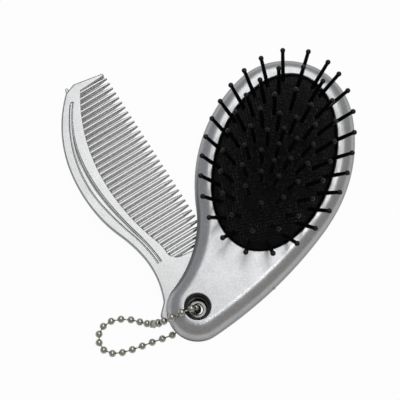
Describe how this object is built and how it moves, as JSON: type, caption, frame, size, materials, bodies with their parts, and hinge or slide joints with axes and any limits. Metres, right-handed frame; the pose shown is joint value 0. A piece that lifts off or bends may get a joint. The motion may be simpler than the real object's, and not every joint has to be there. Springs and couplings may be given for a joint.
{
  "type": "folding hair brush with comb",
  "caption": "Pocket hair brush with an oval pinned air cushion, a comb that swings out of its side on a pivot, and a ball chain loop.",
  "frame": {"origin": "middle of the flat back under the centre of the cushion's oval, on the face the brush rests on", "axes": "+Z from the flat back towards the pins, +Y along the head away from the pivot, +X to the side away from the comb"},
  "size_m": [0.1023, 0.1146, 0.0315],
  "materials": {
    "shell_silver": "silver paint, satin, faintly mottled",
    "comb_silver": "silver paint, satin",
    "inner_plastic": "matt moulded plastic",
    "screw_steel": "zinc plated",
    "bush_black": "glossy black moulding",
    "eyelet_nickel": "bright nickel plate",
    "spacer_nylon": "natural nylon",
    "cushion_rubber": "matt black rubber with a fine mesh texture",
    "pin_black": "black nylon, satin",
    "chain_nickel": "nickel plate, slightly dull"
  },
  "bodies": {
    "body": {"front_shell": "shell_silver", "back_cover": "shell_silver", "inner_plate": "inner_plastic", "cover_screws": "screw_steel", "plate_screws": "screw_steel", "pivot_bush": "bush_black", "eyelet": "eyelet_nickel", "eyelet_washer": "eyelet_nickel", "upper_spacer": "spacer_nylon", "lower_spacer": "spacer_nylon"},
    "comb": {"comb": "comb_silver"},
    "chain": {"chain_beads": "chain_nickel", "chain_links": "chain_nickel", "chain_connector": "chain_nickel"},
    "pad": {"cushion": "cushion_rubber", "pins_outer_ring": "pin_black", "pins_second_ring": "pin_black", "pins_third_ring": "pin_black", "pins_fourth_ring": "pin_black", "pins_centre_row": "pin_black"}
  },
  "joints": [
    {"name": "comb_swing", "type": "hinge", "parent": "body", "child": "comb", "pos_m": [-0.0095, -0.054, 0.0067], "axis": [0, 0, 1], "range_deg": [-49, 131]},
    {"name": "chain_swing", "type": "hinge", "parent": "body", "child": "chain", "pos_m": [-0.0095, -0.054, 0.0067], "axis": [0, 0, 1], "range_deg": [-40, 106]},
    {"name": "cushion_press", "type": "slide", "parent": "body", "child": "pad", "axis": [0, 0, -1], "range_m": [0, 0.0015], "stiffness_N_per_m": 4000}
  ],
  "couplings": [
    {"joint": "chain_swing", "follows": "comb_swing", "ratio": 0.8}
  ]
}
